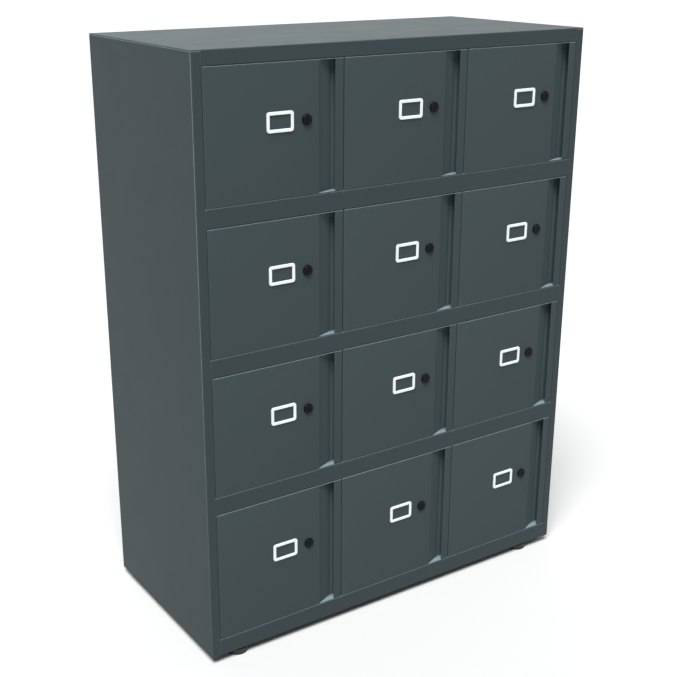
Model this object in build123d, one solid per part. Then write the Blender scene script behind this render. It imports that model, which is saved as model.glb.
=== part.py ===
from build123d import *
import os

# Parcel locker: a folded steel cabinet with rows of hinged doors, each with a cam lock.
#
# Sizes are in millimetres. In the functions below x runs right from the cabinet's left side,
# y runs back from its front face and z runs up from its underside. The last lines move every
# piece into the part's own frame, whose origin is on the floor at the centre of the locker.

# Cabinet
BODY_WIDTH = 1000.0
BODY_DEPTH = 470.0
SHEET = 1.0                 # thickness of every folded steel piece
BEND = 1.5                  # radius of its bends, at the middle of the sheet
TIGHT_BEND = 0.6            # the same beside an opening, where a rail meets a stile
STILE_WIDTH = 20.0
STILE_SEAM = 3.0            # how far back the stile's outer bend is welded to the side wall
TOP_RAIL = 30.0
MID_RAIL = 40.0
BASE_RAIL = 40.0
RAIL_RETURN = 20.0          # how far a rail's lower fold runs back
TOP_FOLD = 10.0             # height of the top rail that its lower fold is made with
CAP_RIM = 3.0               # how far the top panel folds down at its sides and back
COLUMNS = 3
OPENING_HEIGHTS = (268.0, 268.0, 268.0, 304.0)      # from the top row down

# Strike flanges, which stop the doors and hold the lock cams
STRIKE_FRONT = 20.5
STRIKE_WIDTH = 26.0

# Doors, measured from the left edge of their column
DOOR_SIDE_GAP = 0.8
DOOR_END_GAP = 1.0
DOOR_FLANGE = 15.0
RECESS_START = 258.0
RECESS_FOOT = 300.6
RECESS_DEPTH = 19.0
END_CORNER_X = (286.4, 295.6)       # where a door's closed ends widen to cover the recess
LIP_START = 299.0
LIP_HEM = 2.4               # thickness of the finger lip, folded back on itself
LIP_HEM_WIDTH = 12.0
EDGE_ROUND = 0.8            # round along a door's upper and lower front edges
HOLE_CLEARANCE = 0.1        # around the barrel and the pegs
STIFFENER_X = (78.0, 90.0, 120.0, 132.0)
STIFFENER_DEPTH = 12.0
STIFFENER_INSET = 22.0

# Hinges
HINGE_X = 10.6
HINGE_Y = 4.5
PIN_RADIUS = 3.0
PIN_LENGTH = 9.0
PIN_CHAMFER = 0.7
PIN_SHOULDER_RADIUS = 4.0
RUNNING_CLEARANCE = 0.05
DOUBLER_X = (4.6, 19.6)
DOUBLER = 2.0

# Card frames
CARD_X = 168.5
CARD_RISE = 19.0            # above the middle of the opening
CARD_FRAME = (61.5, 40.5)
CARD_WINDOW = (48.5, 27.5)
CARD_CORNER = 6.0
CARD_WINDOW_CORNER = 1.2
CARD_PROUD = 2.5
CARD_EDGE_ROUND = 0.8
CARD_SLOT = 0.8
CARD_PEG_RADIUS = 1.5
CARD_PEG_X = 27.5
CARD_PEG_LENGTH = 4.0

# Cam locks
LOCK_X = 230.0
LOCK_RISE = 18.0
LOCK_BEZEL_RADIUS = 11.0
LOCK_PROUD = 4.5
LOCK_BEZEL_CHAMFER = 1.1
LOCK_BARREL_RADIUS = 9.0
LOCK_BARREL_END = 20.0
LOCK_NUT_RADIUS = 12.0
LOCK_NUT_HEIGHT = 5.0
PLUG_RADIUS = 6.0
PLUG_RECESS = 0.3
KEY_SLOT = (1.3, 7.0, 4.0)
CAM_FRONT = 22.5
CAM_THICKNESS = 2.5
CAM_WIDTH = 14.0
CAM_REACH = 72.0
CAM_SQUARE = 7.0
CAM_SCREW_RADIUS = 5.5
CAM_SCREW_HEAD = 2.5
CAM_SCREW_ROUND = 0.8
CAM_SCREW_SHANK = 2.0
CAM_SCREW_START = 13.0
CAM_SCREW_HOLE = 10.0

# Levelling feet
FOOT_LEFT = 74.0            # from the left side to the left feet
FOOT_RIGHT = 88.0           # from the right side to the right feet
FOOT_SETBACK = 26.0
FOOT_RADIUS = 25.0
FOOT_HEIGHT = 17.0
FOOT_PAD = 14.0
FOOT_STUD_RADIUS = 5.0
FOOT_STUD_TOP = 32.0
FOOT_ROUND = 1.5
FOOT_CHAMFER = 1.0
WELD_NUT_RADIUS = 9.0
WELD_NUT_HEIGHT = 10.0
BASE_RETURN = 60.0

# Wall fixing holes in the back panel
WALL_HOLE_RADIUS = 4.0
WALL_HOLE_SPACING = 600.0
WALL_HOLE_DROP = 80.0

HALF = SHEET / 2
ROWS = len(OPENING_HEIGHTS)
BODY_HEIGHT = TOP_RAIL + sum(OPENING_HEIGHTS) + MID_RAIL * (ROWS - 1) + BASE_RAIL
PITCH = (BODY_WIDTH - 2 * STILE_WIDTH) / COLUMNS
INNER_BACK = BODY_DEPTH - SHEET             # front of the back panel
STRIKE_BACK = STRIKE_FRONT + SHEET
FREE_EDGE = PITCH - DOOR_SIDE_GAP           # a door's right edge, from its column's left edge


def opening_spans():
    """Lower and upper edge of each row's opening, from the top row down."""
    spans = []
    top = BODY_HEIGHT - TOP_RAIL
    for height in OPENING_HEIGHTS:
        spans.append((top - height, top))
        top -= height + MID_RAIL
    return spans


def rail_spans():
    """Lower and upper edge of each front rail between the stiles, from the base up."""
    edges = [0.0]
    for low, high in reversed(opening_spans()):
        edges += [low, high]
    edges.append(BODY_HEIGHT - CAP_RIM)
    return list(zip(edges[::2], edges[1::2]))


def column_left(column):
    return STILE_WIDTH + column * PITCH


def block(x, y, z):
    """Box from three (low, high) pairs."""
    size = (x[1] - x[0], y[1] - y[0], z[1] - z[0])
    return Pos(x[0], y[0], z[0]) * Box(*size, align=Align.MIN)


def folded(points, radius=BEND):
    """Flat section of a folded sheet whose middle runs through the points."""
    return trace(FilletPolyline(*points, radius=radius), line_width=SHEET)


def fold_across(points, x_low, x_high):
    """Folded sheet whose section is given as (y, z) points, running from x_low to x_high."""
    section = Plane.YZ.offset(x_low) * folded(points)
    return extrude(section, amount=x_high - x_low)


def rod(radius, centre, y_low, y_high):
    """Cylinder along y around the (x, z) centre."""
    disc = Pos(centre[0], y_low, centre[1]) * Rot(-90, 0, 0) * Circle(radius)
    return extrude(disc, amount=y_high - y_low)


def post(radius, centre, z_low, z_high):
    """Cylinder along z around the (x, y) centre."""
    return extrude(Pos(centre[0], centre[1], z_low) * Circle(radius), amount=z_high - z_low)


# Cabinet

def left_stile():
    """Folded channel, whose inner bend is filled and ground flush beside each rail."""
    points = [
        (STILE_WIDTH - HALF, STRIKE_BACK),
        (STILE_WIDTH - HALF, HALF),
        (HALF, HALF),
        (HALF, STILE_SEAM),
    ]
    stile = extrude(folded(points, (TIGHT_BEND, BEND)), amount=BODY_HEIGHT - CAP_RIM)
    corner = TIGHT_BEND + HALF
    for span in rail_spans():
        stile += block((STILE_WIDTH - corner, STILE_WIDTH), (0, corner), span)
    return stile


def side_panel_left():
    """Side wall, with the front stile welded along its edge."""
    wall = block((0, SHEET), (STILE_SEAM, INNER_BACK), (0, BODY_HEIGHT - CAP_RIM))
    return [wall, left_stile()]


def side_panel_right():
    """Mirror image of the left one, with a strike flange welded to the stile in each opening."""
    middle = Plane.YZ.offset(BODY_WIDTH / 2)
    pieces = [mirror(piece, about=middle) for piece in side_panel_left()]
    edge = BODY_WIDTH - STILE_WIDTH
    for span in opening_spans():
        pieces.append(block((edge - STRIKE_WIDTH, edge), (STRIKE_FRONT, STRIKE_BACK), span))
    return pieces


def cap_edges(shape):
    """Top edges and upright front edges of the cap's block."""
    uprights = shape.edges().filter_by(Axis.Z).group_by(Axis.Y)[0]
    return uprights + shape.edges().group_by(Axis.Z)[-1]


def top_panel():
    """Shallow cap with the top rail as its front fold."""
    low = BODY_HEIGHT - TOP_RAIL
    outer = block((0, BODY_WIDTH), (0, BODY_DEPTH), (low, BODY_HEIGHT))
    inner = block((SHEET, BODY_WIDTH - SHEET), (SHEET, BODY_DEPTH - SHEET), (low, BODY_HEIGHT - SHEET))
    cap = fillet(cap_edges(outer), BEND + HALF) - fillet(cap_edges(inner), BEND - HALF)
    rim = (low, BODY_HEIGHT - CAP_RIM)
    cap -= block((0, STILE_WIDTH), (0, BODY_DEPTH), rim)
    cap -= block((BODY_WIDTH - STILE_WIDTH, BODY_WIDTH), (0, BODY_DEPTH), rim)
    cap -= block((0, BODY_WIDTH), (BODY_DEPTH / 2, BODY_DEPTH), rim)
    fold = [(RAIL_RETURN, low + HALF), (HALF, low + HALF), (HALF, low + TOP_FOLD)]
    cap -= block((0, BODY_WIDTH), (0, SHEET), (low, low + TOP_FOLD))
    return cap + fold_across(fold, STILE_WIDTH, BODY_WIDTH - STILE_WIDTH)


def shelf(top):
    """Shelf with its front rail folded down and back, notched around the stiles."""
    low = top - MID_RAIL
    fold = [(RAIL_RETURN, low + HALF), (HALF, low + HALF), (HALF, top - HALF), (INNER_BACK, top - HALF)]
    plate = fold_across(fold, STILE_WIDTH, BODY_WIDTH - STILE_WIDTH)
    for x in ((SHEET, STILE_WIDTH), (BODY_WIDTH - STILE_WIDTH, BODY_WIDTH - SHEET)):
        plate += block(x, (STRIKE_BACK, INNER_BACK), (top - SHEET, top))
    return plate


def shelves():
    return [shelf(low) for low, high in opening_spans()[:-1]]


def base_panel():
    """Lowest floor, folded down at the front and back, with a weld nut over each foot."""
    fold = [
        (BASE_RETURN, HALF),
        (HALF, HALF),
        (HALF, BASE_RAIL - HALF),
        (INNER_BACK - HALF, BASE_RAIL - HALF),
        (INNER_BACK - HALF, HALF),
        (INNER_BACK - BASE_RETURN, HALF),
    ]
    panel = fold_across(fold, STILE_WIDTH, BODY_WIDTH - STILE_WIDTH)
    for x in ((SHEET, STILE_WIDTH), (BODY_WIDTH - STILE_WIDTH, BODY_WIDTH - SHEET)):
        panel += block(x, (STRIKE_BACK, INNER_BACK - BEND), (BASE_RAIL - SHEET, BASE_RAIL))
    for centre in foot_centres().values():
        nut = Pos(centre[0], centre[1], HALF) * RegularPolygon(WELD_NUT_RADIUS, 6)
        panel += extrude(nut, amount=WELD_NUT_HEIGHT)
    for centre in foot_centres().values():
        panel -= post(FOOT_STUD_RADIUS + RUNNING_CLEARANCE, centre, 0, HALF + WELD_NUT_HEIGHT)
    return panel


def back_panel():
    """Flat sheet welded to the rear edges of the side panels, shelves and dividers."""
    panel = block((0, BODY_WIDTH), (INNER_BACK, BODY_DEPTH), (0, BODY_HEIGHT - CAP_RIM))
    for side in (-1, 1):
        centre = (BODY_WIDTH / 2 + side * WALL_HOLE_SPACING / 2, BODY_HEIGHT - WALL_HOLE_DROP)
        panel -= rod(WALL_HOLE_RADIUS, centre, INNER_BACK, BODY_DEPTH)
    return panel


def divider(x, span, headroom):
    """Upright wall between two compartments, with the strike flange of the left one's door."""
    low, high = span
    wall = (x - HALF, x + HALF)
    piece = block(wall, (STRIKE_FRONT, INNER_BACK), span)
    piece += block(wall, (STRIKE_BACK, INNER_BACK), (high - SHEET, high + headroom))
    piece += block((x + HALF - STRIKE_WIDTH, x + HALF), (STRIKE_FRONT, STRIKE_BACK), span)
    return piece


def dividers():
    pieces = []
    for row, span in enumerate(opening_spans()):
        headroom = (MID_RAIL if row else TOP_RAIL) - SHEET
        for column in range(1, COLUMNS):
            pieces.append(divider(column_left(column), span, headroom))
    return pieces


def hinge_pin(centre, root, direction):
    """Pivot stud with a shoulder that keeps the door clear of the rail; direction is 1 for up."""
    shoulder_height = DOOR_END_GAP - 2 * RUNNING_CLEARANCE
    shoulder = post(PIN_SHOULDER_RADIUS, centre, 0, shoulder_height)
    pin = post(PIN_RADIUS, centre, 0, shoulder_height + PIN_LENGTH)
    tip = pin.edges().group_by(Axis.Z)[-1]
    pin = chamfer(tip, PIN_CHAMFER) + shoulder
    if direction < 0:
        pin = mirror(pin, about=Plane.XY)
    return Pos(0, 0, root) * pin


def hinge_pins():
    pins = []
    for low, high in opening_spans():
        for column in range(COLUMNS):
            centre = (column_left(column) + HINGE_X, HINGE_Y)
            pins.append(hinge_pin(centre, low, 1))
            pins.append(hinge_pin(centre, high, -1))
    return pins


# Doors, at the left edge of their column

def door_pan(span):
    """Door sheet: face, slanted finger recess and the lip along the free edge."""
    low, high = span
    outline = folded([
        (DOOR_SIDE_GAP + HALF, DOOR_FLANGE),
        (DOOR_SIDE_GAP + HALF, HALF),
        (RECESS_START, HALF),
        (RECESS_FOOT, RECESS_DEPTH + HALF),
        (FREE_EDGE - HALF, RECESS_DEPTH + HALF),
        (FREE_EDGE - HALF, HALF),
        (LIP_START + LIP_HEM, HALF),
    ])
    lip = Pos(LIP_START, 0) * Rectangle(LIP_HEM_WIDTH, LIP_HEM, align=Align.MIN)
    lip = fillet(lip.vertices().group_by(Axis.X)[0], LIP_HEM / 2 - RUNNING_CLEARANCE)
    pan = Pos(0, 0, low) * extrude(outline + lip, amount=high - low)
    return pan + door_end(low) + door_end(high - SHEET)


def door_end(z):
    """Closed end of the door pan, which also closes the recess."""
    corner = Polyline(
        (DOOR_SIDE_GAP, DOOR_FLANGE),
        (DOOR_SIDE_GAP, 0),
        (FREE_EDGE, 0),
        (FREE_EDGE, RECESS_DEPTH + SHEET),
        (END_CORNER_X[1], RECESS_DEPTH + SHEET),
        (END_CORNER_X[0], DOOR_FLANGE),
        close=True,
    )
    outline = make_face(corner)
    front = outline.vertices().group_by(Axis.Y)[0]
    outline = fillet(front, BEND + HALF)
    return extrude(Pos(0, 0, z) * outline, amount=SHEET)


def hinge_doubler(z):
    """Plate inside one end of the door that gives its hinge hole a longer wall."""
    return block(DOUBLER_X, (SHEET, DOOR_FLANGE), (z, z + DOUBLER))


def stiffener(low, high):
    """Hat channel spot welded behind the door's face."""
    x0, x1, x2, x3 = STIFFENER_X
    near = SHEET + HALF
    far = STIFFENER_DEPTH + HALF
    outline = folded([(x0, near), (x1, near), (x1, far), (x2, far), (x2, near), (x3, near)])
    return Pos(0, 0, low) * extrude(outline, amount=high - low)


def round_front_edges(door, low, high):
    """Bend round along the upper and lower edge of the door's face, recess mouth and lip."""
    edges = ShapeList()
    for edge in door.edges():
        middle = edge.center()
        at_end = min(abs(middle.Z - low), abs(middle.Z - high)) < RUNNING_CLEARANCE
        if at_end and abs(middle.Y) < RUNNING_CLEARANCE:
            edges.append(edge)
    return fillet(edges, EDGE_ROUND)


def door_panel(span):
    """Complete door: pan, hinge doublers, stiffener, and the holes for lock and card frame."""
    low = span[0] + DOOR_END_GAP
    high = span[1] - DOOR_END_GAP
    middle = sum(span) / 2
    door = round_front_edges(door_pan((low, high)), low, high)
    door += hinge_doubler(low + SHEET)
    door += hinge_doubler(high - SHEET - DOUBLER)
    door += stiffener(low + STIFFENER_INSET, high - STIFFENER_INSET)
    door -= post(PIN_RADIUS + RUNNING_CLEARANCE, (HINGE_X, HINGE_Y), low, high)
    door -= rod(LOCK_BARREL_RADIUS + HOLE_CLEARANCE, (LOCK_X, middle + LOCK_RISE), 0, SHEET)
    for side in (-1, 1):
        centre = (CARD_X + side * CARD_PEG_X, middle + CARD_RISE)
        door -= rod(CARD_PEG_RADIUS + HOLE_CLEARANCE, centre, 0, SHEET)
    return door


def window_edges(frame, centre):
    """Front edges of the card window."""
    reach = [(side + CARD_PROUD) / 2 for side in CARD_WINDOW]
    edges = ShapeList()
    for edge in frame.edges().group_by(Axis.Y)[0]:
        middle = edge.center()
        if abs(middle.X - centre[0]) < reach[0] and abs(middle.Z - centre[1]) < reach[1]:
            edges.append(edge)
    return edges


def card_holder(span):
    """Plastic frame with a window, a pocket for the card behind it and two pegs."""
    centre = (CARD_X, sum(span) / 2 + CARD_RISE)
    flat = Pos(centre[0], 0, centre[1]) * Rot(90, 0, 0)
    frame = extrude(flat * RectangleRounded(*CARD_FRAME, CARD_CORNER), amount=CARD_PROUD)
    frame = fillet(frame.edges().group_by(Axis.Y)[0], CARD_EDGE_ROUND)
    frame -= extrude(flat * RectangleRounded(*CARD_WINDOW, CARD_WINDOW_CORNER), amount=CARD_PROUD)
    frame = chamfer(window_edges(frame, centre), CARD_SLOT)
    pocket = (CARD_WINDOW[0] + 2 * CARD_SLOT, CARD_WINDOW[1] + 2 * CARD_SLOT)
    frame -= extrude(flat * Rectangle(*pocket), amount=CARD_SLOT)
    for side in (-1, 1):
        frame += rod(CARD_PEG_RADIUS, (centre[0] + side * CARD_PEG_X, centre[1]), -SHEET, CARD_PEG_LENGTH)
    return frame


def lock_housing(span):
    """Round bezel and barrel, with the hexagonal nut that holds them in the door."""
    centre = (LOCK_X, sum(span) / 2 + LOCK_RISE)
    bezel = rod(LOCK_BEZEL_RADIUS, centre, -LOCK_PROUD, 0)
    bezel = chamfer(bezel.edges().group_by(Axis.Y)[0], LOCK_BEZEL_CHAMFER)
    housing = bezel + rod(LOCK_BARREL_RADIUS, centre, 0, LOCK_BARREL_END)
    housing -= rod(PLUG_RADIUS + RUNNING_CLEARANCE, centre, -LOCK_PROUD, LOCK_BARREL_END)
    flat = Pos(centre[0], SHEET, centre[1]) * Rot(-90, 0, 0)
    nut = extrude(flat * RegularPolygon(LOCK_NUT_RADIUS, 6, major_radius=False), amount=LOCK_NUT_HEIGHT)
    nut -= rod(LOCK_BARREL_RADIUS + RUNNING_CLEARANCE, centre, SHEET, SHEET + LOCK_NUT_HEIGHT)
    return [housing, nut]


def lock_core(span):
    """Plug with its key slot, the cam on its square tail, and the screw that holds the cam."""
    x = LOCK_X
    z = sum(span) / 2 + LOCK_RISE
    cam_back = CAM_FRONT + CAM_THICKNESS
    square = (-CAM_SQUARE / 2, CAM_SQUARE / 2)
    plug = rod(PLUG_RADIUS, (0, 0), PLUG_RECESS - LOCK_PROUD, CAM_FRONT)
    plug += block(square, (CAM_FRONT, cam_back), square)
    slot_width, slot_height, slot_depth = KEY_SLOT
    front = (-LOCK_PROUD, slot_depth - LOCK_PROUD)
    plug -= block((-slot_width / 2, slot_width / 2), front, (-slot_height / 2, slot_height / 2))
    plug -= rod(CAM_SCREW_SHANK + RUNNING_CLEARANCE, (0, 0), CAM_SCREW_HOLE, cam_back)
    cam = cam_plate() - block(square, (CAM_FRONT, cam_back), square)
    screw = rod(CAM_SCREW_RADIUS, (0, 0), cam_back, cam_back + CAM_SCREW_HEAD)
    screw = fillet(screw.edges().group_by(Axis.Y)[-1], CAM_SCREW_ROUND)
    screw += rod(CAM_SCREW_SHANK, (0, 0), CAM_SCREW_START, cam_back)
    return [Pos(x, 0, z) * piece for piece in (plug, cam, screw)]


def cam_plate():
    """Flat arm with round ends, pointing down from the lock's axis."""
    length = CAM_REACH + CAM_WIDTH / 2
    flat = Pos(0, CAM_FRONT, (CAM_WIDTH - length) / 2) * Rot(-90, 0, 0)
    return extrude(flat * RectangleRounded(CAM_WIDTH, length, CAM_WIDTH / 2 - HALF), amount=CAM_THICKNESS)


# Feet

def foot_centres():
    """Plan position of each foot."""
    left = FOOT_LEFT
    right = BODY_WIDTH - FOOT_RIGHT
    front = FOOT_SETBACK
    rear = BODY_DEPTH - FOOT_SETBACK
    return {
        "front_left": (left, front),
        "front_right": (right, front),
        "rear_left": (left, rear),
        "rear_right": (right, rear),
    }


def foot(centre):
    """Levelling foot: pad, collar and threaded stud."""
    pad = post(FOOT_RADIUS, centre, -FOOT_HEIGHT, FOOT_PAD - FOOT_HEIGHT)
    pad = fillet(pad.edges().group_by(Axis.Z)[-1], FOOT_ROUND)
    pad = chamfer(pad.edges().group_by(Axis.Z)[0], FOOT_CHAMFER)
    collar = post(WELD_NUT_RADIUS, centre, FOOT_PAD - FOOT_HEIGHT, -RUNNING_CLEARANCE)
    stud = post(FOOT_STUD_RADIUS, centre, FOOT_PAD - FOOT_HEIGHT, FOOT_STUD_TOP)
    return pad + collar + stud


# Export

def save(name, shape, x=0.0):
    """Write one sub-part in the part's own frame; x shifts a door's pieces to their column."""
    solids = shape if isinstance(shape, list) else [shape]
    solids = [solid for piece in solids for solid in piece.solids()]
    front = (LOCK_PROUD - BODY_DEPTH) / 2
    place = Pos(x - BODY_WIDTH / 2, front, FOOT_HEIGHT)
    moved = [place * solid for solid in solids]
    body = moved[0] if len(moved) == 1 else Compound(children=moved)
    export_step(body, f"parts/{name}.step")


def main():
    os.makedirs("parts", exist_ok=True)
    save("side_panel_left", side_panel_left())
    save("side_panel_right", side_panel_right())
    save("top_panel", top_panel())
    save("base_panel", base_panel())
    save("back_panel", back_panel())
    save("shelves", shelves())
    save("dividers", dividers())
    save("hinge_pins", hinge_pins())
    for corner, centre in foot_centres().items():
        save(f"foot_{corner}", foot(centre))
    for row, span in enumerate(opening_spans(), start=1):
        makers = {
            "door_panel": door_panel(span),
            "card_holder": card_holder(span),
            "lock_housing": lock_housing(span),
            "lock_core": lock_core(span),
        }
        for column in range(COLUMNS):
            for name, shape in makers.items():
                save(f"{name}_r{row}c{column + 1}", shape, column_left(column))


main()
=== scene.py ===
import math

import bmesh
import bpy
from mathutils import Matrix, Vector

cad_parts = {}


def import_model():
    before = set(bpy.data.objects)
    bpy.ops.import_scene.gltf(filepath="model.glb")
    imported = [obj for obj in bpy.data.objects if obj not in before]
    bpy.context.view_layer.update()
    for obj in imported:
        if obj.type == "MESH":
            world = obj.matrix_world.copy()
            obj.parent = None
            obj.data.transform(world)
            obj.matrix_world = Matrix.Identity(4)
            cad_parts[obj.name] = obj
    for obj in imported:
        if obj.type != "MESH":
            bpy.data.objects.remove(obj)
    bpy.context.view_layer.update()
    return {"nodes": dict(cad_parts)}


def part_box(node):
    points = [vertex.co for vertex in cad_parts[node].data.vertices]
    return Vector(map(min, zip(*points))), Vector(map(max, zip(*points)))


# The parcel locker's looks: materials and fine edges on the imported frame, with a plain studio.
# Sizes are in metres.

# Camera: where it stands from the cabinet's lower front left corner, and how it looks
CAMERA_FROM_CORNER = Vector((-0.9786, -1.9085, 1.4923))
CAMERA_TURN = math.radians(-33.576)
CAMERA_DIP = math.radians(19.341)
CAMERA_LENS = 60.82
CAMERA_SHIFT = (0.0232, -0.0005)

# Studio: a floor that rises gently at its far edge, a sky that is brighter behind the cabinet,
# and a soft sun from the upper left front
FLOOR_FLAT = 40.0
FLOOR_RADIUS = 80.0
FLOOR_RIM = 8.0
FLOOR_SIDES = 96
FLOOR_STEPS = 12
FLOOR_COLOUR = (0.57, 0.57, 0.57)
FLOOR_ROUGHNESS = 0.9
FRONT_SKY = (0.26, 0.27, 0.275)
BACK_SKY = (1.58, 1.66, 1.68)
BRIGHT_SIDE = (0.35, 0.94, 0.0)
BRIGHT_SPREAD = (0.35, 1.0)
SUN_FROM = (-0.32, -0.36, 0.93)
SUN_STRENGTH = 5.2
SUN_ANGLE = math.radians(30)

# Noise values lie mostly in this range, which the materials stretch
NOISE_RANGE = (0.3, 0.7)

# Powder coat: linear colours, sizes of its texture in features per metre, heights in metres
CABINET_COLOUR = (0.033, 0.046, 0.050)
DOOR_COLOUR = (0.034, 0.047, 0.051)
PAINT_SPECULAR = 0.09
PAINT_ROUGHNESS = (0.46, 0.50)
PAINT_GLOSS_SCALE = 12.0
MOTTLE_SCALE = 2.5
MOTTLE_RANGE = (0.35, 0.65)
MOTTLE_SHADES = (0.98, 1.02)
GRAIN_SCALE = 1400.0
GRAIN_SHARE = 0.25
GRAIN_LIGHTER = 1.15
GRAIN_HEIGHT = 0.00002
PEEL_SCALE = 420.0
PEEL_HEIGHT = 0.00004

# Painted light on the paint: highlights painted on its edges, more so where they face up, and painted
# light on ledges that face up, deep in the doors' recesses and towards each door's upper left.
# Each LIGHTER is how many times lighter than the paint's colour.
EDGE_WIDTH = 0.0018
EDGE_LIGHTER = 9.0
EDGE_UNEVEN_SCALE = 30.0
EDGE_UNEVEN = (0.8, 1.0)
EDGE_UPWARD = (0.05, 0.35)
SIDE_EDGE_SHARE = 0.06
EDGE_SAMPLES = 6
EDGE_BEND = 0.9
# Painted light deep in the doors' recesses: how much lighter, and the depths where it starts and is full
RECESS_LIGHTER = 2.1
RECESS_MOUTH = 0.003
RECESS_FLOOR = 0.019
# Painted light on upward ledges just behind the front: how much lighter, how deep, and how upward they
# face
LEDGE_LIGHTER = 5.0
LEDGE_DEPTH = 0.020
LEDGE_UPWARD = (0.5, 0.9)
# Painted light: how much lighter each door gets towards its upper left, and that corner's direction
UPPER_LEFT_LIGHTER = 1.4
UPPER_LEFT_SHARE = 0.6
UPPER_LEFT_CORNER = (-1.0, 0.0, 1.0)

# Moulded plastic of card frames and feet
CARD_COLOUR = (0.70, 0.73, 0.745)
CARD_ROUGHNESS = 0.45
CARD_GRAIN_SCALE = 1500.0
FOOT_COLOUR = (0.010, 0.010, 0.011)
FOOT_ROUGHNESS = 0.55
FOOT_GRAIN_SCALE = 900.0
PLASTIC_CLOUD_SCALE = 60.0
PLASTIC_SHADES = (0.95, 1.05)
PLASTIC_GLOSS_SCALE = 150.0
PLASTIC_GLOSS_SPREAD = 0.05
PLASTIC_GRAIN_HEIGHT = 0.00003

# Black lacquer of the locks
LOCK_COLOUR = (0.004, 0.004, 0.0045)
LOCK_WORN_COLOUR = (0.03, 0.03, 0.03)
LOCK_WORN_WIDTH = 0.0004
LOCK_WORN_SCALE = 400.0
LOCK_WORN_RANGE = (0.45, 0.7)
LOCK_WORN_SHARE = 0.7
LOCK_SPECULAR = 0.1
LOCK_ROUGHNESS = (0.25, 0.36)
LOCK_GLOSS_SCALE = 300.0
LOCK_PEEL_SCALE = 900.0
LOCK_PEEL_HEIGHT = 0.00001

# Zinc plating of the cams
ZINC_COLOUR = (0.62, 0.63, 0.65)
ZINC_DARKER = 0.85
ZINC_CRYSTAL_SCALE = 500.0
ZINC_ROUGHNESS = (0.28, 0.45)
ZINC_GLOSS_SCALE = 800.0
ZINC_LINE_SCALE = 900.0
ZINC_LINE_STRETCH = (1, 1, 12)
ZINC_LINE_HEIGHT = 0.00001

# Fine rounds on the CAD nodes' sharp edges
EDGE_ROUND = 0.00025
EDGE_ANGLE = math.radians(35)
WELD_DISTANCE = 0.000002
FLAT_FACE_WEIGHT = 100


# Node helpers

def new_material(name):
    """Empty material with a Principled shader: returns the material, its tree and the shader."""
    material = bpy.data.materials.new(name)
    material.use_nodes = True
    tree = material.node_tree
    tree.nodes.clear()
    output = tree.nodes.new("ShaderNodeOutputMaterial")
    shader = tree.nodes.new("ShaderNodeBsdfPrincipled")
    tree.links.new(shader.outputs["BSDF"], output.inputs["Surface"])
    return material, tree, shader


def noise(tree, scale, detail=2.0, stretch=(1, 1, 1)):
    """Noise value over the object's own coordinates; scale is in features per metre."""
    coords = tree.nodes.new("ShaderNodeTexCoord")
    mapping = tree.nodes.new("ShaderNodeMapping")
    mapping.inputs["Scale"].default_value = stretch
    texture = tree.nodes.new("ShaderNodeTexNoise")
    texture.inputs["Scale"].default_value = scale
    texture.inputs["Detail"].default_value = detail
    tree.links.new(coords.outputs["Object"], mapping.inputs["Vector"])
    tree.links.new(mapping.outputs["Vector"], texture.inputs["Vector"])
    return texture.outputs["Fac"]


def ranged(tree, value, low, high, to_low, to_high):
    """Value mapped from one range to another, clamped."""
    node = tree.nodes.new("ShaderNodeMapRange")
    node.inputs["From Min"].default_value = low
    node.inputs["From Max"].default_value = high
    node.inputs["To Min"].default_value = to_low
    node.inputs["To Max"].default_value = to_high
    tree.links.new(value, node.inputs["Value"])
    return node.outputs["Result"]


def uneven(tree, scale, detail, to_low, to_high):
    """Noise stretched to run from one value to another."""
    return ranged(tree, noise(tree, scale, detail), *NOISE_RANGE, to_low, to_high)


def split(tree, vector):
    """The vector's X, Y and Z outputs."""
    node = tree.nodes.new("ShaderNodeSeparateXYZ")
    tree.links.new(vector, node.inputs["Vector"])
    return node.outputs


def aligned(tree, vector, direction):
    """Dot product of the vector and a fixed direction."""
    node = tree.nodes.new("ShaderNodeVectorMath")
    node.operation = "DOT_PRODUCT"
    node.inputs[1].default_value = direction
    tree.links.new(vector, node.inputs[0])
    return node.outputs["Value"]


def times(tree, first, second):
    """Product of two values."""
    node = tree.nodes.new("ShaderNodeMath")
    node.operation = "MULTIPLY"
    tree.links.new(first, node.inputs[0])
    tree.links.new(second, node.inputs[1])
    return node.outputs["Value"]


def blended(tree, factor, low, high):
    """Colour between low and high; each is a linear colour or another node's colour output."""
    node = tree.nodes.new("ShaderNodeMix")
    node.data_type = "RGBA"
    tree.links.new(factor, node.inputs["Factor"])
    for socket, colour in ((node.inputs[6], low), (node.inputs[7], high)):
        if isinstance(colour, tuple):
            socket.default_value = (*colour, 1.0)
        else:
            tree.links.new(colour, socket)
    return node.outputs[2]


def bump(tree, height, distance, strength, under=None):
    """Normal with the height added; distance is the height's depth in metres."""
    node = tree.nodes.new("ShaderNodeBump")
    node.inputs["Distance"].default_value = distance
    node.inputs["Strength"].default_value = strength
    tree.links.new(height, node.inputs["Height"])
    if under is not None:
        tree.links.new(under, node.inputs["Normal"])
    return node.outputs["Normal"]


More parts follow.
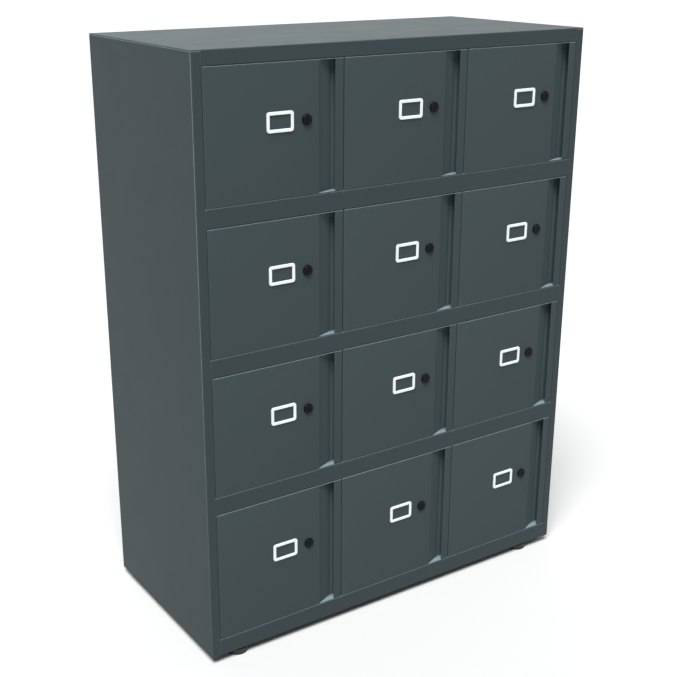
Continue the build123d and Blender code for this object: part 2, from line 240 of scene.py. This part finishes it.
def edge_mask(tree, radius):
    """1 on edges within the radius, 0 on flat faces; less on edges that don't face up. The powder coat
    uses it for a highlight painted as if lit from above; the locks use it for worn lacquer.
    """
    rounded = tree.nodes.new("ShaderNodeBevel")
    rounded.samples = EDGE_SAMPLES
    rounded.inputs["Radius"].default_value = radius
    flat = tree.nodes.new("ShaderNodeNewGeometry")
    dot = tree.nodes.new("ShaderNodeVectorMath")
    dot.operation = "DOT_PRODUCT"
    tree.links.new(rounded.outputs["Normal"], dot.inputs[0])
    tree.links.new(flat.outputs["Normal"], dot.inputs[1])
    upward = ranged(tree, split(tree, rounded.outputs["Normal"])["Z"], *EDGE_UPWARD, SIDE_EDGE_SHARE, 1.0)
    return times(tree, ranged(tree, dot.outputs["Value"], 1.0, EDGE_BEND, 0.0, 1.0), upward)


def scaled(colour, factor):
    """Colour made lighter or darker by the factor."""
    return tuple(channel * factor for channel in colour)


# Materials

def recess_painted_light(tree, colour, base):
    """Painted light deep in the doors' recesses: the recess walls made lighter, as if light reached far
    inside.
    """
    coords = tree.nodes.new("ShaderNodeTexCoord")
    place = split(tree, coords.outputs["Object"])
    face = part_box("door_panel_r1c1")[0].y
    depth = ranged(tree, place["Y"], face + RECESS_MOUTH, face + RECESS_FLOOR, 0.0, 1.0)
    return blended(tree, depth, base, scaled(colour, RECESS_LIGHTER))


def upper_left_painted_light(tree, colour, base):
    """Painted light: each door a little lighter towards its upper left, as if lit from there."""
    coords = tree.nodes.new("ShaderNodeTexCoord")
    toward_corner = aligned(tree, coords.outputs["Generated"], UPPER_LEFT_CORNER)
    share = ranged(tree, toward_corner, -1.0, 1.0, 0.0, UPPER_LEFT_SHARE)
    return blended(tree, share, base, scaled(colour, UPPER_LEFT_LIGHTER))


def ledge_painted_light(tree, colour, base):
    """Painted light on what faces up just behind the front: those faces made lighter, as if lit from
    above.
    """
    coords = tree.nodes.new("ShaderNodeTexCoord")
    place = split(tree, coords.outputs["Object"])
    facing = split(tree, coords.outputs["Normal"])
    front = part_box("shelves")[0].y
    near = ranged(tree, place["Y"], front + LEDGE_DEPTH / 2, front + LEDGE_DEPTH, 1.0, 0.0)
    upward = ranged(tree, facing["Z"], *LEDGE_UPWARD, 0.0, 1.0)
    return blended(tree, times(tree, near, upward), base, scaled(colour, LEDGE_LIGHTER))


def powder_coat(name, colour, ledge=False, recess=False):
    """Fine-textured powder coat: faint mottling, orange-peel bump and highlights painted on its edges;
    with ledge set, painted light on upward ledges; with recess set, painted light deep in the recesses
    and towards each door's upper left.
    """
    material, tree, shader = new_material(name)
    mottle = ranged(tree, noise(tree, MOTTLE_SCALE, 4.0), *MOTTLE_RANGE, 0.0, 1.0)
    base = blended(tree, mottle, *[scaled(colour, shade) for shade in MOTTLE_SHADES])
    grain = uneven(tree, GRAIN_SCALE, 2.0, 0.0, 1.0)
    speckle = ranged(tree, grain, 0.0, 1.0, 0.0, GRAIN_SHARE)
    base = blended(tree, speckle, base, scaled(colour, GRAIN_LIGHTER))
    # Painted light: each door lighter towards its upper left
    if recess:
        base = upper_left_painted_light(tree, colour, base)
    # Painted highlight: edges painted lighter, most where they face up, as if catching light from above
    edge_wear_and_highlight = times(tree, edge_mask(tree, EDGE_WIDTH), uneven(tree, EDGE_UNEVEN_SCALE, 3.0, *EDGE_UNEVEN))
    base = blended(tree, edge_wear_and_highlight, base, scaled(colour, EDGE_LIGHTER))
    # Painted light deep in the doors' recesses
    if recess:
        base = recess_painted_light(tree, colour, base)
    # Painted light on upward ledges just behind the front
    if ledge:
        base = ledge_painted_light(tree, colour, base)
    tree.links.new(base, shader.inputs["Base Color"])
    shader.inputs["Specular IOR Level"].default_value = PAINT_SPECULAR
    rough = uneven(tree, PAINT_GLOSS_SCALE, 5.0, *PAINT_ROUGHNESS)
    tree.links.new(rough, shader.inputs["Roughness"])
    peel = bump(tree, noise(tree, PEEL_SCALE, 2.0), PEEL_HEIGHT, 0.5)
    tree.links.new(bump(tree, grain, GRAIN_HEIGHT, 0.4, peel), shader.inputs["Normal"])
    return material


def moulded_plastic(name, colour, roughness, grain_scale):
    """Moulded plastic: faint cloudiness, fine grain and slightly uneven gloss."""
    material, tree, shader = new_material(name)
    clouds = uneven(tree, PLASTIC_CLOUD_SCALE, 3.0, 0.0, 1.0)
    base = blended(tree, clouds, *[scaled(colour, shade) for shade in PLASTIC_SHADES])
    tree.links.new(base, shader.inputs["Base Color"])
    low = roughness - PLASTIC_GLOSS_SPREAD
    high = roughness + PLASTIC_GLOSS_SPREAD
    tree.links.new(uneven(tree, PLASTIC_GLOSS_SCALE, 4.0, low, high), shader.inputs["Roughness"])
    grain = noise(tree, grain_scale, 2.0)
    tree.links.new(bump(tree, grain, PLASTIC_GRAIN_HEIGHT, 0.4), shader.inputs["Normal"])
    return material


def black_lacquer(name, colour):
    """Smooth black lacquer on the lock, worn to the metal on its edges."""
    material, tree, shader = new_material(name)
    patches = ranged(tree, noise(tree, LOCK_WORN_SCALE, 3.0), *LOCK_WORN_RANGE, 0.0, LOCK_WORN_SHARE)
    edge_wear_and_highlight = times(tree, edge_mask(tree, LOCK_WORN_WIDTH), patches)
    tree.links.new(blended(tree, edge_wear_and_highlight, colour, LOCK_WORN_COLOUR), shader.inputs["Base Color"])
    shader.inputs["Specular IOR Level"].default_value = LOCK_SPECULAR
    rough = uneven(tree, LOCK_GLOSS_SCALE, 4.0, *LOCK_ROUGHNESS)
    tree.links.new(rough, shader.inputs["Roughness"])
    peel = bump(tree, noise(tree, LOCK_PEEL_SCALE, 2.0), LOCK_PEEL_HEIGHT, 0.3)
    tree.links.new(peel, shader.inputs["Normal"])
    return material


def zinc_plate(name):
    """Zinc plating: bright metal with faint crystals and drawn lines."""
    material, tree, shader = new_material(name)
    crystals = uneven(tree, ZINC_CRYSTAL_SCALE, 4.0, 0.0, 1.0)
    base = blended(tree, crystals, scaled(ZINC_COLOUR, ZINC_DARKER), ZINC_COLOUR)
    tree.links.new(base, shader.inputs["Base Color"])
    shader.inputs["Metallic"].default_value = 1.0
    rough = uneven(tree, ZINC_GLOSS_SCALE, 3.0, *ZINC_ROUGHNESS)
    tree.links.new(rough, shader.inputs["Roughness"])
    lines = noise(tree, ZINC_LINE_SCALE, 2.0, ZINC_LINE_STRETCH)
    tree.links.new(bump(tree, lines, ZINC_LINE_HEIGHT, 0.4), shader.inputs["Normal"])
    return material


# CAD nodes

def fine_edges(node):
    """Joins the import's split corners, then breaks every sharp edge with a small round."""
    mesh = node.data
    mesh.shade_smooth()
    weld = node.modifiers.new("weld", "WELD")
    weld.merge_threshold = WELD_DISTANCE
    rounds = node.modifiers.new("edge_round", "BEVEL")
    rounds.width = EDGE_ROUND
    rounds.segments = 2
    rounds.limit_method = "ANGLE"
    rounds.angle_limit = EDGE_ANGLE
    rounds.use_clamp_overlap = True
    rounds.harden_normals = True
    normals = node.modifiers.new("flat_faces", "WEIGHTED_NORMAL")
    normals.weight = FLAT_FACE_WEIGHT
    normals.keep_sharp = True


def dress(node, material):
    """Gives a CAD node its material and its fine edges."""
    node.data.materials.clear()
    node.data.materials.append(material)
    fine_edges(node)


def dress_frame(nodes):
    """Gives every CAD node its material, chosen by what the node is."""
    paint = powder_coat("cabinet_paint", CABINET_COLOUR)
    rail_paint = powder_coat("rail_paint", CABINET_COLOUR, ledge=True)
    door_paint = powder_coat("door_paint", DOOR_COLOUR, ledge=True, recess=True)
    card = moulded_plastic("card_plastic", CARD_COLOUR, CARD_ROUGHNESS, CARD_GRAIN_SCALE)
    rubber = moulded_plastic("foot_plastic", FOOT_COLOUR, FOOT_ROUGHNESS, FOOT_GRAIN_SCALE)
    lacquer = black_lacquer("lock_black", LOCK_COLOUR)
    zinc = zinc_plate("zinc")
    by_kind = {
        "door_panel": door_paint,
        "card_holder": card,
        "lock_housing": lacquer,
        "lock_core": lacquer,
        "foot": rubber,
        "shelves": rail_paint,
        "base_panel": rail_paint,
    }
    for name, node in nodes.items():
        kind = next((key for key in by_kind if name.startswith(key)), None)
        dress(node, by_kind.get(kind, paint))
        if kind == "lock_core":
            plate_the_cam(name, node, zinc)


def plate_the_cam(name, node, zinc):
    """The cam and its screw, behind the lock's barrel, are zinc plated."""
    node.data.materials.append(zinc)
    lock = name.replace("lock_core", "lock_housing")
    barrel_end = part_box(lock)[1].y
    for face in node.data.polygons:
        if face.center.y > barrel_end:
            face.material_index = 1


# Studio

def floor_mesh():
    """Flat floor that rises gently at its far edge, so that no horizon shows."""
    shape = bmesh.new()
    rings = []
    for step in range(FLOOR_STEPS + 1):
        share = step / FLOOR_STEPS
        radius = FLOOR_FLAT + (FLOOR_RADIUS - FLOOR_FLAT) * share
        height = FLOOR_RIM * share ** 2
        turns = [math.tau * side / FLOOR_SIDES for side in range(FLOOR_SIDES)]
        points = [(radius * math.cos(turn), radius * math.sin(turn), height) for turn in turns]
        rings.append([shape.verts.new(point) for point in points])
    shape.faces.new(rings[0])
    for inner, outer in zip(rings, rings[1:]):
        for side in range(FLOOR_SIDES):
            after = (side + 1) % FLOOR_SIDES
            shape.faces.new((inner[side], outer[side], outer[after], inner[after]))
    mesh = bpy.data.meshes.new("floor")
    shape.to_mesh(mesh)
    shape.free()
    mesh.shade_smooth()
    return mesh


def add_floor():
    """Plain pale matt floor."""
    floor = bpy.data.objects.new("floor", floor_mesh())
    bpy.context.scene.collection.objects.link(floor)
    material, tree, shader = new_material("floor")
    shader.inputs["Base Color"].default_value = (*FLOOR_COLOUR, 1.0)
    shader.inputs["Roughness"].default_value = FLOOR_ROUGHNESS
    shader.inputs["Specular IOR Level"].default_value = 0.0
    floor.data.materials.append(material)


def add_sky():
    """Soft sky, dim in front of the cabinet and bright behind it."""
    world = bpy.data.worlds.new("sky")
    world.use_nodes = True
    tree = world.node_tree
    background = tree.nodes["Background"]
    coords = tree.nodes.new("ShaderNodeTexCoord")
    facing = aligned(tree, coords.outputs["Generated"], BRIGHT_SIDE)
    behind = ranged(tree, facing, *BRIGHT_SPREAD, 0.0, 1.0)
    tree.links.new(blended(tree, behind, FRONT_SKY, BACK_SKY), background.inputs["Color"])
    bpy.context.scene.world = world


def add_sun():
    """Soft key light from the upper left front."""
    light = bpy.data.lights.new("key", "SUN")
    light.energy = SUN_STRENGTH
    light.angle = SUN_ANGLE
    sun = bpy.data.objects.new("key", light)
    sun.rotation_euler = (-Vector(SUN_FROM)).to_track_quat("-Z", "Y").to_euler()
    bpy.context.scene.collection.objects.link(sun)


def add_camera():
    """Camera placed from the cabinet's lower front left corner."""
    camera = bpy.data.cameras.new("camera")
    camera.lens = CAMERA_LENS
    camera.shift_x, camera.shift_y = CAMERA_SHIFT
    holder = bpy.data.objects.new("camera", camera)
    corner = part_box("side_panel_left")[0]
    holder.location = corner + CAMERA_FROM_CORNER
    holder.rotation_euler = (math.pi / 2 - CAMERA_DIP, 0, CAMERA_TURN)
    bpy.context.scene.collection.objects.link(holder)
    bpy.context.scene.camera = holder


def main():
    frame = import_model()
    dress_frame(frame["nodes"])
    add_floor()
    add_sky()
    add_sun()
    add_camera()
    bpy.context.scene.view_settings.view_transform = "Standard"


main()
